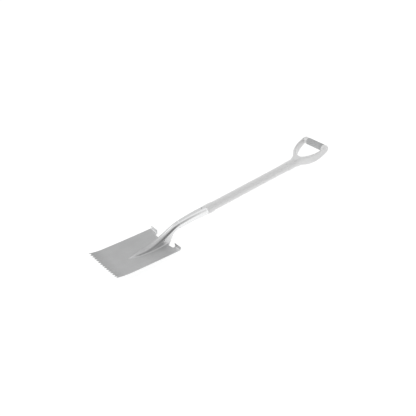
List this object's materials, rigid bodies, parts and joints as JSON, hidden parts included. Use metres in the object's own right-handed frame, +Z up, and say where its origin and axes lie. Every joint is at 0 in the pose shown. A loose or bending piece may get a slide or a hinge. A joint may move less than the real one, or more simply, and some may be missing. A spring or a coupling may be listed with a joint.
{
  "type": "long-handled shovel",
  "caption": "Long-handled square-mouth shovel with a toothed front edge, rear foot treads, an arched socket, a white shaft and a D handle with a soft grip.",
  "frame": {"origin": "on the surface it lies on, at the middle of its overall length and width; the shovel lies on its back, resting on the blade's heel and on the root of the D handle", "axes": "+X from the toothed edge towards the D handle, +Y to the left seen from above, +Z up, the side that carries the load"},
  "size_m": [1.1504, 0.21, 0.0667],
  "materials": {
    "blade_metal": "silver-grey coated sheet steel, satin",
    "tube_steel": "drawn steel tube, hidden inside the sleeve",
    "plug_plastic": "moulded, hidden inside the socket",
    "white_plastic": "white moulded plastic, semi-gloss",
    "fastener_steel": "bright zinc",
    "grip_rubber": "soft grey grip, matte, fine texture"
  },
  "bodies": {
    "root": {"blade": "blade_metal", "socket": "blade_metal", "neck_weld": "blade_metal", "shaft_tube": "tube_steel", "tube_plug": "plug_plastic", "shaft_sleeve": "white_plastic", "lower_collar": "white_plastic", "socket_rivet": "fastener_steel", "handle_frame": "white_plastic", "grip": "grip_rubber", "handle_screw": "fastener_steel"}
  },
  "joints": []
}
